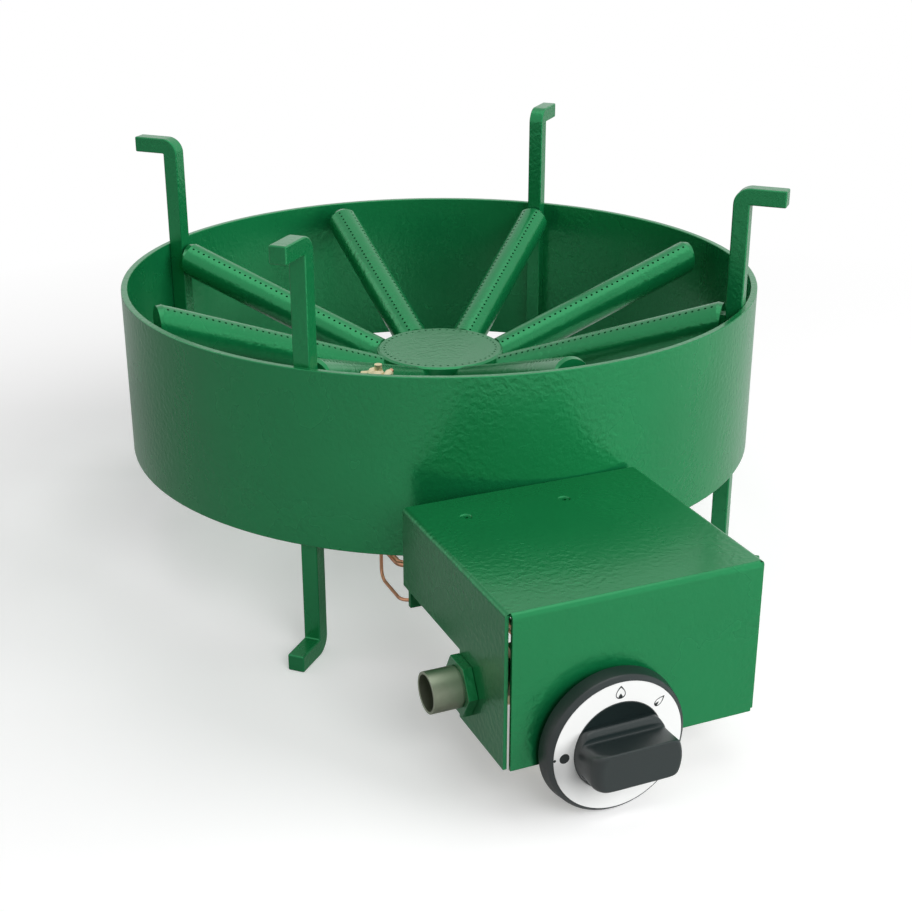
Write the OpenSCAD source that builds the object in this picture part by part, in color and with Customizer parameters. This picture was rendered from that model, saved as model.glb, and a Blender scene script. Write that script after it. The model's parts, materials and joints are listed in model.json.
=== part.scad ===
// Gas ring burner with a wind ring, eight sloping burner arms and a front tap
// The frame stands on its four feet: z = 0 is the ground, -Y is the tap side

/* [Wind ring] */
// Outer radius of the rolled ring
ring_r = 200; // [170:1:240]
// Height of the ring
ring_h = 104; // [96:1:130]
// Wall of the ring
ring_wall = 4; // [2:0.5:6]
// Height of the ring's lower edge above the ground
ring_clear = 71; // [64:1:110]

/* [Legs] */
// Side of the square bar
bar = 10; // [8:0.5:14]
// Height of the pan rests above the ring
rest_rise = 71; // [40:1:120]
// Length of the bent ends past the bar
bent_reach = 21; // [14:1:40]

/* [Burner arms] */
// Outer diameter of an arm
arm_d = 22; // [18:0.5:24]
// Wall of an arm
arm_wall = 2; // [1:0.25:3]
// Slope of the arms
arm_slope = 20.1; // [16:0.1:22]
// Height of the arm axes over the ring's lower edge, at the middle
arm_rise = 26.2; // [22:0.1:28]
// Gap between an arm's end and a leg
arm_end_gap = 2.4; // [1.4:0.2:12]
// Diameter of a flame port
port_d = 1.5; // [1:0.1:2]
// Spacing of the flame ports
port_pitch = 4.1; // [3.6:0.1:8]
// Angle of the port rows from the top
port_angle = 25; // [15:1:40]
// Length of the bevel at the top of an arm's end
end_bevel = 4; // [2:0.2:5]
// Thickness of the end plate of an arm
end_plate = 2.4; // [1.4:0.2:4]

/* [Hub] */
// Outer radius of the hub
hub_r = 41; // [37:0.5:46]
// Wall of the hub
hub_wall = 2; // [1.5:0.5:3]
// Floor of the hub
hub_floor = 3; // [2:0.5:5]
// Height of the hub's floor over the ring's lower edge
hub_low = 22; // [16:0.5:24]
// Thickness of the lid
lid_t = 1.5; // [1:0.25:3]
// Distance of the lid's ports from its edge
lid_port_inset = 4.7; // [4:0.1:8]
// Spacing of the lid's ports
lid_pitch = 4.75; // [4:0.05:8]
// Width of the bevel round the lid
lid_bevel = 1.6; // [0.5:0.1:2]
// Gap between the arm bores and the lid
lid_gap = 0.5; // [0.3:0.1:3]

/* [Mixing tube] */
// Outer diameter of the mixing tube
mix_d = 34; // [30:0.5:35]
// Wall of the mixing tube
mix_wall = 2.6; // [2:0.1:3]
// Bend radius of the mixing tube
mix_bend = 38; // [32:1:40]
// Gap between the tube's mouth and the inside of the ring
mouth_gap = 8; // [5:0.5:20]
// Thickness of the mouth plate
mouth_plate = 4; // [3:0.5:6]
// Length of an air window
window_l = 20; // [12:1:26]
// Height of an air window
window_h = 16; // [10:1:16]
// Wall of the air shutter
shutter_wall = 1.6; // [1:0.1:2]
// Running gap under the air shutter
shutter_gap = 0.3; // [0.25:0.05:0.5]

/* [Gas line] */
// Outer diameter of the inlet pipe, a half inch gas thread
inlet_d = 21.3; // [17:0.1:22]
// Bore of the inlet pipe
inlet_bore = 18.4; // [12:0.2:19]
// Length of the inlet pipe outside the cover
inlet_out = 21.1; // [14:0.1:40]
// Height of the gas line over the tap axis
line_over_tap = 13.9; // [13.6:0.1:15.5]
// Distance of the gas line behind the front panel
line_setback = 46.2; // [44:0.2:60]
// Outer diameter of the feed pipe
feed_d = 12; // [8:0.5:13]
// Wall of the feed pipe
feed_wall = 1.5; // [1:0.25:2]
// Bend radius of the feed pipe
feed_bend = 15; // [13:1:18]
// Width across the flats of the lock nut
locknut_af = 27; // [25:0.5:30]
// Thickness of the lock nut
locknut_t = 5; // [3:0.5:8]
// Bore of the injector's orifice
jet_bore = 1.6; // [1:0.1:2.4]

/* [Tap] */
// Distance of the tap axis left of the ring's middle
tap_x = 53; // [50:0.2:58]
// Depth of the tap axis below the ring's lower edge
tap_drop = 32.7; // [32:0.1:34]
// Radius of the tap barrel
barrel_r = 14; // [13:0.5:15]
// Diameter of the spindle
spindle_d = 8; // [6:0.5:9]
// Push travel of the knob
push_travel = 3; // [2:0.5:3.5]
// Diameter of the magnet housing
magnet_d = 17; // [15:0.5:17]

/* [Knob] */
// Radius of the skirt at the back
skirt_r = 38; // [36.5:0.5:38]
// Gap between the skirt and the panel
skirt_gap = 3.6; // [3.6:0.1:6]
// Depth of the skirt
skirt_depth = 9; // [7:0.5:14]
// Outer radius of the scale ring
scale_r = 34.4; // [30:0.2:34.8]
// Inner radius of the scale ring
scale_inner_r = 23.8; // [22.6:0.1:26]
// Thickness of the scale ring
scale_t = 0.8; // [0.5:0.1:1.5]
// Thickness of the grip at its front
grip_t = 20.2; // [14:0.2:22]
// Thickness of the grip at its root
grip_root = 27.8; // [24:0.2:32]
// Height of the grip over the scale ring
grip_h = 20.5; // [16:0.5:32]
// Height of the step at the grip's root
grip_step = 5; // [3:0.2:7]
// Width of the step's ledge
grip_ledge = 1.5; // [1:0.1:3]
// Depth of the finger hollows in the grip
grip_hollow = 2.2; // [0.6:0.1:3.5]

/* [Control cover] */
// Sheet thickness of the cover
sheet = 2; // [1:0.5:2.5]
// Width of the cover
cover_w = 139.2; // [132:0.2:160]
// Depth of the cover
cover_depth = 128.2; // [122:0.2:160]
// Left edge of the cover from the ring's middle
cover_left = 106.4; // [100:0.2:115]
// Height of the cover's top over the ring's lower edge
cover_top = 41.8; // [34:0.2:56]
// Depth of the front panel below the ring's lower edge
cover_drop = 41.7; // [40:0.2:50]
// Depth of the shallow rear part of the side flaps
flap_shallow = 3.3; // [1:0.1:6]
// Distance of the step in the side flaps behind the front panel
flap_step = 53.7; // [48:0.1:56]
// Inside bend radius of the sheet
fold_in = 0.8; // [0.4:0.1:4]
// Setback of the side flaps behind the front panel
flap_setback = 2.4; // [2.4:0.1:5]
// Gap between the front panel and the side flaps
flap_gap = 0.8; // [0.5:0.1:2]
// Gap between the ring and the cover
cover_gap = 1; // [0.5:0.1:3]
// Spacing of the two cover screws
screw_spacing = 56.6; // [40:0.2:80]
// Distance of the cover screws from the cover's rear edge
screw_inset = 23; // [15:0.1:34]
// Shift of the cover screws to the right of the tap
screw_shift = 1; // [0:0.1:4]

/* [Rear bracket] */
// Thickness of the bracket plate
plate_t = 3; // [2:0.5:4]
// Depth of the bracket plate below the ring's lower edge
plate_drop = 17; // [12:0.5:24]
// Length of the bracket's top flange
flange_l = 42; // [38:1:60]

/* [Pilot] */
// Distance of the pilot burner from the inside of the ring
pilot_inset = 50; // [40:0.5:80]
// Gap between the pilot burner's axis and the arm's side
pilot_gap = 8.8; // [8.8:0.1:14]
// Height of the pilot burner over the arm's axis
pilot_rise = 9; // [6:0.2:12]
// Distance of the thermocouple from the pilot burner
probe_side = 6.6; // [6.4:0.1:6.9]
// Diameter of the thermocouple lead
lead_d = 2; // [1.5:0.1:2.6]
// Diameter of the pilot tube
pilot_tube_d = 4; // [3:0.5:5]

/* [Hidden] */
$fn = 64;

green = [0.18, 0.5, 0.33];
brass = [0.75, 0.62, 0.32];
steel = [0.62, 0.62, 0.6];
copper = [0.72, 0.42, 0.28];
black = [0.12, 0.12, 0.13];

// Small gap between two seated pieces
seat = 0.05;
// Clearance of a screw in its hole, on the radius
hole_slack = 0.25;

// Heights above the ground
ring_low = ring_clear;
ring_top = ring_low + ring_h;
tap_z = ring_low - tap_drop;
line_z = tap_z + line_over_tap;
cover_z = ring_low + cover_top;
hub_z = ring_low + hub_low;

// Legs stand with their outer face against the inside of the ring
leg_out = sqrt(pow(ring_r - ring_wall, 2) - pow(bar / 2, 2));
leg_in = leg_out - bar;
leg_h = ring_top + rest_rise;

// Arms
arm_r = arm_d / 2;
arm_reach = leg_in - arm_end_gap;
arm_bore = arm_r - arm_wall;
lid_z = ring_low + arm_rise + tan(arm_slope) * hub_r + arm_bore / cos(arm_slope) + lid_gap;
arm_end = (arm_reach + arm_r * sin(arm_slope)) / cos(arm_slope);
port_last = arm_end - end_bevel - 2.8;
port_first = (hub_r + 1.5 - arm_r * sin(arm_slope)) / cos(arm_slope) + port_d;
port_count = floor((port_last - port_first) / port_pitch) + 1;

// Mixing tube
mix_r = mix_d / 2;
mouth_y = ring_r - ring_wall - mouth_gap;
window_y = mouth_y - mouth_plate - 3 - window_l;
shutter_in = mix_r + shutter_gap;
shutter_out = shutter_in + shutter_wall;

// Distances in front of the ring's middle
cover_back = ring_r + cover_gap;
panel_y = cover_back + cover_depth;
line_y = panel_y - line_setback;
step_y = panel_y - flap_step;
cover_right = cover_w - cover_left;
fold_r = sheet + fold_in;
plate_y = ring_r + plate_t;

// Knob planes in front of the panel
skirt_back = panel_y + skirt_gap;
scale_y = skirt_back + skirt_depth;
grip_front = scale_y + grip_h;
hub_out = scale_inner_r - 0.1;

// Tap
bonnet_t = 4;
bonnet_front = panel_y - sheet;
barrel_front = bonnet_front - bonnet_t;
cross_r = 13;
barrel_back = line_y - cross_r - 0.5;
plug_r = barrel_r - 6;
plug_l = 22;
plug_front = barrel_front - 4;
plug_back = plug_front - plug_l;
spindle_end = plug_back + 8;
magnet_l = 18;
magnet_back = barrel_back - magnet_l;
body_hex_af = 30;
inlet_union = 14;
outlet_union = 10;
body_half = 17;
thread_r = inlet_d / 2 - 0.35;
screw_r = 2;
panel_screw_x = 19;

// The tap's outlet leads to the feed pipe on the right
outlet_x = -tap_x + body_half + outlet_union;
holder_l = 22;
holder_back = mouth_y + holder_l;

// Whole hundredths of a millimetre keep the ends of joined rods together
function hundredth(x) = round(100 * x) / 100;

// Pilot group stands beside the front left arm, on the tap side of it
ring_in = ring_r - ring_wall;
pilot_r = ring_in - pilot_inset;
pilot_angle = asin((arm_r + pilot_gap) / pilot_r) - 45;
pilot_x = hundredth(pilot_r * sin(pilot_angle));
pilot_y = hundredth(pilot_r * cos(pilot_angle));
pilot_top = hundredth(ring_low + arm_rise + tan(arm_slope) * pilot_r * cos(pilot_angle + 45) + pilot_rise);
pilot_h = 14;
strip_t = 2;
strip_z = pilot_top - pilot_h - strip_t;
clip_z = strip_z - 4.5;
probe_z = pilot_top - 3.6;
lead_bend = 6;
line_lead = 20;
lead_r = pilot_r + 18;
lead_x = hundredth(lead_r * sin(pilot_angle) + probe_side * cos(pilot_angle));
lead_y = hundredth(lead_r * cos(pilot_angle) - probe_side * sin(pilot_angle));
boss_x = -tap_x - 7;
boss_back = line_y - cross_r - 5;

// Origin lies under the middle of the whole burner
axis_y = (grip_front - ring_r) / 2;

module placed() {
    translate([0, axis_y, 0]) children();
}

// Turns the +X direction to an angle measured from the tap side
module facing(angle) {
    rotate([0, 0, angle - 90]) children();
}

module rod_x(r, x0, x1, y, z) {
    translate([x0, y, z]) rotate([0, 90, 0]) cylinder(r = r, h = x1 - x0);
}

// A rod along Y from the distance d0 to d1 in front of the ring's middle
module rod_y(r, d0, d1, x, z) {
    translate([x, -d1, z]) rotate([-90, 0, 0]) cylinder(r = r, h = d1 - d0);
}

module hex_x(af, x0, x1, y, z, turn = 0) {
    translate([x0, y, z]) rotate([0, 90, 0]) rotate([0, 0, turn])
        cylinder(r = af / sqrt(3), h = x1 - x0, $fn = 6);
}

module hex_y(af, d0, d1, x, z) {
    translate([x, -d1, z]) rotate([-90, 0, 0]) cylinder(r = af / sqrt(3), h = d1 - d0, $fn = 6);
}

// Quarter bend between a vertical line at the distance d and a line along Y at height z
module elbow(r, bend, x, d, z) {
    translate([x, -d - bend, z + bend]) rotate([0, 90, 0])
        rotate_extrude(angle = 90) translate([bend, 0]) circle(r = r);
}

// Level line along Y at x0 that steps over to x1 with two quarter bends
module stepped_line(r, x0, x1, d0, d1, z) {
    turn = min(6, 0.4 * (x1 - x0));
    step = d0 + line_lead;
    rod_y(r, d0, step, x0, z);
    translate([x0 + turn, -step, z]) rotate([0, 0, 180])
        rotate_extrude(angle = 90) translate([turn, 0]) circle(r = r);
    rod_x(r, x0 + turn, x1 - turn, -step - turn, z);
    translate([x1 - turn, -step - 2 * turn, z])
        rotate_extrude(angle = 90) translate([turn, 0]) circle(r = r);
    rod_y(r, step + 2 * turn, d1, x1, z);
}

module wind_ring() {
    color(green) placed() difference() {
        translate([0, 0, ring_low]) cylinder(r = ring_r, h = ring_h, $fn = 160);
        translate([0, 0, ring_low - 1]) cylinder(r = ring_r - ring_wall, h = ring_h + 2, $fn = 160);
    }
}

// Outline of one bent end: a quarter circle round the bend, then a straight end
module bent_end() {
    intersection() {
        translate([bar, 0]) circle(r = bar);
        square([bar, bar]);
    }
    translate([bar, 0]) square([bent_reach, bar]);
}

module leg(angle) {
    color(green) placed() facing(angle) translate([leg_in, bar / 2, 0]) rotate([90, 0, 0])
        linear_extrude(bar) {
            translate([0, bar]) square([bar, leg_h - 2 * bar]);
            translate([0, leg_h - bar]) bent_end();
            translate([0, bar]) mirror([0, 1]) bent_end();
        }
}

// Short blocks that tie the ends of four arms to the legs
module arm_lugs() {
    block = bar * 0.8;
    color(green) placed() for (angle = [-135, -45, 45, 135]) facing(angle)
        translate([arm_reach + seat, -block / 2, ring_low + arm_rise + tan(arm_slope) * arm_reach - block / 2])
            cube([arm_end_gap - 2 * seat, block, block]);
}

module burner_arm(angle) {
    color(green) placed() facing(angle) difference() {
        intersection() {
            arm_axis() rotate([0, 90, 0]) union() {
                cylinder(r = arm_r, h = arm_end - end_bevel);
                translate([0, 0, arm_end - end_bevel])
                    cylinder(r1 = arm_r, r2 = arm_r - end_bevel, h = 2 * end_bevel);
            }
            translate([0, -arm_d, ring_low]) cube([arm_reach, 2 * arm_d, 2 * ring_h]);
        }
        intersection() {
            arm_axis() rotate([0, 90, 0]) cylinder(r = arm_bore, h = 2 * ring_r);
            translate([0, -arm_d, ring_low]) cube([arm_reach - end_plate, 2 * arm_d, 2 * ring_h]);
        }
        translate([0, 0, ring_low - 1]) cylinder(r = hub_r + seat, h = ring_h);
        arm_axis() for (i = [0 : port_count - 1], side = [-1, 1])
            translate([port_last - i * port_pitch, 0, 0]) rotate([side * port_angle, 0, 0])
                cylinder(d = port_d, h = arm_d, $fn = 16);
    }
}

// Frame along an arm: +X runs out and up along its axis
module arm_axis() {
    translate([0, 0, ring_low + arm_rise]) rotate([0, -arm_slope, 0]) children();
}

module burner_hub() {
    color(green) placed() difference() {
        translate([0, 0, hub_z]) cylinder(r = hub_r, h = lid_z - hub_z, $fn = 96);
        translate([0, 0, hub_z + hub_floor]) cylinder(r = hub_r - hub_wall, h = lid_z, $fn = 96);
        translate([0, 0, hub_z - 1]) cylinder(r = mix_r + seat, h = hub_floor + 2);
        for (i = [0 : 7]) facing(45 * i) arm_axis() translate([hub_r / 2, 0, 0]) rotate([0, 90, 0])
            cylinder(r = arm_bore, h = hub_r);
    }
}

module burner_lid() {
    spigot_r = hub_r - hub_wall - seat;
    lid_port_r = hub_r - lid_port_inset;
    lid_ports = round(2 * PI * lid_port_r / lid_pitch);
    color(green) placed() difference() {
        union() {
            translate([0, 0, lid_z]) cylinder(r = hub_r, h = lid_t * 0.4, $fn = 96);
            translate([0, 0, lid_z + lid_t * 0.4])
                cylinder(r1 = hub_r, r2 = hub_r - lid_bevel, h = lid_t * 0.6, $fn = 96);
            translate([0, 0, lid_z - 2]) cylinder(r = spigot_r, h = 2 + lid_t / 2, $fn = 96);
        }
        translate([0, 0, lid_z - 3]) cylinder(r = lid_port_r - 2, h = 3, $fn = 96);
        for (i = [0 : lid_ports - 1]) rotate([0, 0, i * 360 / lid_ports])
            translate([lid_port_r, 0, lid_z - 3]) cylinder(d = port_d, h = lid_t + 4, $fn = 16);
    }
}

// The mixing tube's solid of a given radius: straight, bend and upright
module mix_path(r, y0, top) {
    rod_y(r, mix_bend, y0, 0, line_z);
    elbow(r, mix_bend, 0, 0, line_z);
    translate([0, 0, line_z + mix_bend]) cylinder(r = r, h = top - line_z - mix_bend);
}

module mixing_tube() {
    color(steel) placed() difference() {
        mix_path(mix_r, mouth_y, hub_z + hub_floor);
        mix_path(mix_r - mix_wall, mouth_y - mouth_plate, hub_z + hub_floor + 1);
        rod_y(holder_spigot_r + seat, mouth_y - mouth_plate - 1, mouth_y + 1, 0, line_z);
        translate([-mix_d, -window_y - window_l, line_z - window_h / 2])
            cube([2 * mix_d, window_l, window_h]);
    }
}

module air_shutter() {
    shutter_l = window_l + 5;
    color(steel) placed() difference() {
        union() {
            rod_y(shutter_out, window_y - 2.5, window_y - 2.5 + shutter_l, 0, line_z);
            translate([0, -window_y - window_l / 2, line_z - shutter_out + 0.5])
                mirror([0, 0, 1]) cylinder(r = 5, h = 4.5);
        }
        rod_y(shutter_in, window_y - 4, window_y + shutter_l, 0, line_z);
        translate([-mix_d, -window_y - window_l, line_z - window_h / 2])
            cube([2 * mix_d, window_l, window_h]);
        translate([0, -window_y - window_l / 2, line_z - 2 * mix_r]) cylinder(r = 2 + seat, h = mix_r);
    }
}

module shutter_screw() {
    color(brass) placed() translate([0, -window_y - window_l / 2, line_z - shutter_out - 4])
        mirror([0, 0, 1]) union() {
            cylinder(r = 4.2, h = 5);
            translate([0, 0, -4 - shutter_wall]) cylinder(r = 2, h = 5 + shutter_wall);
        }
}

// Brass holder between the feed pipe and the mixing tube's mouth
holder_spigot_r = 7;
holder_af = 19;
nut_af = 17;
nut_l = 8;

module injector_holder() {
    color(brass) placed() difference() {
        union() {
            rod_y(holder_spigot_r, mouth_y - mouth_plate - 2, mouth_y + 3, 0, line_z);
            hex_y(holder_af, mouth_y, mouth_y + 12, 0, line_z);
            rod_y(holder_spigot_r, mouth_y + 10, holder_back, 0, line_z);
        }
        rod_y(5 + seat, mouth_y - mouth_plate - 4, mouth_y + 4, 0, line_z);
        rod_y(feed_d / 2 - feed_wall, mouth_y + 2, holder_back + 1, 0, line_z);
        rod_y(feed_d / 2 + seat, holder_back - 8, holder_back + 1, 0, line_z);
    }
}

module injector() {
    tip = mouth_y - mouth_plate - 16;
    color(brass) placed() difference() {
        union() {
            rod_y(5, mouth_y - mouth_plate - 2, mouth_y + 4 - seat, 0, line_z);
            hex_y(10, mouth_y - mouth_plate - 10, mouth_y - mouth_plate - 2 - seat, 0, line_z);
            translate([0, -tip, line_z]) rotate([90, 0, 0])
                cylinder(r1 = 2.2, r2 = 4.4, h = 7);
        }
        rod_y(2.6, tip + 5, mouth_y + 5, 0, line_z);
        rod_y(jet_bore / 2, tip - 1, tip + 6, 0, line_z);
    }
}

module feed_path(r, x0, y1) {
    rod_x(r, x0, -feed_bend, -line_y, line_z);
    translate([-feed_bend, -line_y + feed_bend, line_z]) rotate([0, 0, -90])
        rotate_extrude(angle = 90) translate([feed_bend, 0]) circle(r = r);
    rod_y(r, y1, line_y - feed_bend, 0, line_z);
}

module feed_pipe() {
    color(brass) placed() difference() {
        feed_path(feed_d / 2, outlet_x - 8 + seat, holder_back - 8 + seat);
        feed_path(feed_d / 2 - feed_wall, outlet_x - 9, holder_back - 9);
    }
}

module feed_pipe_nuts() {
    color(brass) placed() {
        difference() {
            hex_x(nut_af, outlet_x + seat, outlet_x + nut_l, -line_y, line_z);
            rod_x(feed_d / 2 + seat, outlet_x - 1, outlet_x + nut_l + 1, -line_y, line_z);
        }
        difference() {
            hex_y(nut_af, holder_back + seat, holder_back + nut_l, 0, line_z);
            rod_y(feed_d / 2 + seat, holder_back - 1, holder_back + nut_l + 1, 0, line_z);
        }
    }
}

module inlet_pipe() {
    x_end = -cover_left - inlet_out;
    x0 = -tap_x - body_half - inlet_union + 8 - seat;
    color(steel) placed() difference() {
        union() {
            rod_x(inlet_d / 2, x_end, -cover_left - locknut_t - 0.6, -line_y, line_z);
            rod_x(thread_r, x_end + 1, x0, -line_y, line_z);
        }
        rod_x(inlet_bore / 2, x_end - 1, x0 + 1, -line_y, line_z);
    }
}

module inlet_locknut() {
    color(green) placed() difference() {
        hex_x(locknut_af, -cover_left - locknut_t, -cover_left - seat, -line_y, line_z, 30);
        rod_x(thread_r + seat, -cover_left - locknut_t - 1, -cover_left + 1, -line_y, line_z);
    }
}

// Brass body: a barrel along Y and a cross bore along X above it
module valve_body() {
    x_in = -tap_x - body_half - inlet_union;
    color(brass) placed() difference() {
        union() {
            rod_y(barrel_r, barrel_back, barrel_front - seat, -tap_x, tap_z);
            rod_x(cross_r, -tap_x - body_half - 1, -tap_x + body_half + 1, -line_y, line_z);
            hex_x(body_hex_af, x_in, x_in + inlet_union, -line_y, line_z);
            hex_x(holder_af, outlet_x - outlet_union, outlet_x, -line_y, line_z);
            rod_y(pilot_tube_d / 2 + 1.6, boss_back, line_y, boss_x, line_z);
        }
        rod_y(pilot_tube_d / 2 + seat, boss_back - 1, boss_back + 4, boss_x, line_z);
        rod_x(thread_r + seat, x_in - 1, x_in + 8, -line_y, line_z);
        rod_x(inlet_bore / 2 - 3, x_in + 7, -tap_x - body_half + 4, -line_y, line_z);
        rod_x(feed_d / 2 + seat, outlet_x - 8, outlet_x + 1, -line_y, line_z);
        rod_x(feed_d / 2 - feed_wall, -tap_x + body_half - 4, outlet_x - 7, -line_y, line_z);
        rod_y(plug_r + seat, plug_back - 1, barrel_front + 1, -tap_x, tap_z);
        rod_y(spindle_d / 2 + 1.5, barrel_back - 1, plug_back, -tap_x, tap_z);
    }
}

module valve_bonnet() {
    bonnet_w = 48;
    bonnet_h = 24;
    color(brass) placed() difference() {
        translate([-tap_x - bonnet_w / 2, -bonnet_front + seat, tap_z - bonnet_h / 2])
            cube([bonnet_w, bonnet_t - seat, bonnet_h]);
        rod_y(spindle_d / 2 + 0.3, barrel_front - 1, bonnet_front + 1, -tap_x, tap_z);
        for (side = [-1, 1])
            rod_y(screw_r + hole_slack, barrel_front - 1, bonnet_front + 1, -tap_x + side * panel_screw_x, tap_z);
    }
}

module bonnet_screws() {
    color(steel) placed() for (side = [-1, 1]) {
        rod_y(screw_r, barrel_front - 3, panel_y + 0.5, -tap_x + side * panel_screw_x, tap_z);
        rod_y(1.9 * screw_r, panel_y + seat, panel_y + 2, -tap_x + side * panel_screw_x, tap_z);
    }
}

// Spindle with a flat for the knob; its tail slides in the plug
module valve_spindle() {
    color(brass) placed() difference() {
        rod_y(spindle_d / 2, spindle_end, scale_y - 2, -tap_x, tap_z);
        translate([-tap_x - spindle_d, -scale_y - 1, tap_z + spindle_d * 0.3])
            cube([2 * spindle_d, scale_y - skirt_back + 2, spindle_d]);
    }
}

module valve_plug() {
    color(brass) placed() difference() {
        rod_y(plug_r - 0.3, plug_back, plug_front, -tap_x, tap_z);
        rod_y(spindle_d / 2 + 0.3, spindle_end - push_travel - 1, plug_front + 1, -tap_x, tap_z);
        rod_y(2.4, plug_back - 1, plug_front, -tap_x, tap_z);
        translate([-tap_x, -line_y, tap_z]) cylinder(r = 4, h = 2 * plug_r, center = true);
    }
}

module magnet_housing() {
    color(brass) placed() difference() {
        union() {
            rod_y(magnet_d / 2, magnet_back, barrel_back - seat, -tap_x, tap_z);
            rod_y(4.5, magnet_back - 6, magnet_back + 1, -tap_x, tap_z);
        }
        rod_y(magnet_d / 2 - 1.5, magnet_back + 2, barrel_back + 1, -tap_x, tap_z);
        rod_y(lead_d / 2 + seat, magnet_back - 7, magnet_back + 1, -tap_x, tap_z);
    }
}

// Push pin that the spindle presses, with the flange of the magnet's anchor
module magnet_plunger() {
    color(steel) placed() {
        rod_y(1.9, magnet_back + 10, spindle_end - seat, -tap_x, tap_z);
        rod_y(magnet_d / 2 - 2.2, magnet_back + 10, magnet_back + 12, -tap_x, tap_z);
    }
}

// Points of a helix round the Y axis, as rings of a swept wire
spring_turns = 4;
spring_steps = 12;
spring_wire = 0.8;
spring_sides = 6;

function spring_ring(t, r, pitch) = [
    for (k = [0 : spring_sides - 1])
        let (a = 360 * t, b = 360 * k / spring_sides, q = r + spring_wire / 2 * cos(b))
        [q * cos(a), pitch * t + spring_wire / 2 * sin(b), q * sin(a)]
];

module plunger_spring() {
    room = 10 - 2 - spring_wire - 2 * seat;
    pitch = room / spring_turns;
    rings = spring_turns * spring_steps;
    points = [for (i = [0 : rings]) each spring_ring(i / spring_steps, 4.2, pitch)];
    sides = [
        for (i = [0 : rings - 1], k = [0 : spring_sides - 1])
            let (a = i * spring_sides + k, b = i * spring_sides + (k + 1) % spring_sides)
            each [[a, b, b + spring_sides], [a, b + spring_sides, a + spring_sides]]
    ];
    first = [for (k = [spring_sides - 1 : -1 : 0]) k];
    last = [for (k = [0 : spring_sides - 1]) rings * spring_sides + k];
    color(steel) placed()
        translate([-tap_x, -magnet_back - 10 + spring_wire / 2 + seat, tap_z])
            polyhedron(points, concat(sides, [first, last]));
}

module knob() {
    d = scale_y - skirt_back;
    color(black) placed() translate([-tap_x, -skirt_back, tap_z]) rotate([90, 0, 0]) difference() {
        union() {
            rotate_extrude($fn = 96) polygon([
                [0, 2], [skirt_r - 3, 2], [skirt_r - 3, 0], [skirt_r, 0],
                [skirt_r - 1.2, d - 2], [scale_r + 0.4, d],
                [scale_r + 0.1, d], [scale_r + 0.1, d - scale_t - seat],
                [hub_out, d - scale_t - seat], [hub_out, d + 0.4], [hub_out - 1.2, d], [0, d]
            ]);
            cylinder(r = spindle_d / 2 + 3, h = d);
            intersection() {
                knob_grip(d);
                grip_round(d);
            }
        }
        difference() {
            translate([0, 0, -1]) cylinder(r = spindle_d / 2 + 0.1, h = scale_y - 2 - skirt_back + 1.5);
            translate([-spindle_d, spindle_d * 0.3 + 0.1, -2]) cube([2 * spindle_d, spindle_d, d + 2]);
        }
    }
}

// Grip bar along X: a stepped root and two concave sides that end at the front edge
module knob_grip(d) {
    root_y = grip_root / 2;
    foot_y = root_y - grip_ledge;
    front_y = grip_t / 2;
    steps = 12;
    half = concat(
        [[root_y, -1], [root_y, grip_step - 0.8], [root_y - 0.8, grip_step]],
        [for (i = [0 : steps]) let (t = i / steps) [
            foot_y + (front_y - foot_y) * t - 4 * grip_hollow * t * (1 - t),
            grip_step + (grip_h - grip_step) * t
        ]]
    );
    last = len(half) - 1;
    translate([-hub_out - 1, 0, d]) rotate([90, 0, 90]) linear_extrude(2 * hub_out + 2)
        polygon(concat(half, [for (i = [last : -1 : 0]) [-half[i][0], half[i][1]]]));
}

// Round body that bounds the grip, bevelled at its front edge
module grip_round(d) {
    bevel = 1.2;
    rotate_extrude($fn = 96) polygon([
        [0, 0], [hub_out - 0.1, 0], [hub_out - 0.1, d + grip_h - bevel],
        [hub_out - 0.1 - bevel, d + grip_h], [0, d + grip_h]
    ]);
}

module knob_scale() {
    d = scale_y - skirt_back;
    color([0.88, 0.88, 0.86]) placed() translate([-tap_x, -skirt_back, tap_z]) rotate([90, 0, 0])
        difference() {
            translate([0, 0, d - scale_t]) cylinder(r = scale_r, h = scale_t, $fn = 96);
            cylinder(r = scale_inner_r, h = d + 1, $fn = 96);
        }
}

// Rounded rectangle from the origin, with only its two upper corners round
module round_top(w, h, r) {
    square([w, h - r]);
    translate([r, 0]) square([w - 2 * r, h]);
    translate([r, h - r]) circle(r = r);
    translate([w - r, h - r]) circle(r = r);
}

// Side outline of the cover: deep at the front, shallow behind the step
module flap_outline(slot) {
    difference() {
        translate([cover_back, tap_low]) square([panel_y - flap_setback - cover_back, cover_z - tap_low]);
        translate([cover_back - 1, tap_low - 1])
            square([step_y - cover_back + 1, ring_low - flap_shallow - tap_low + 1]);
        if (slot) {
            translate([line_y, line_z]) circle(r = inlet_d / 2 + 0.4);
            translate([step_y - 1, line_z - inlet_d / 2 - 0.4])
                square([line_y - step_y + 1, inlet_d + 0.8]);
        }
    }
}

tap_low = ring_low - cover_drop;

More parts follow.
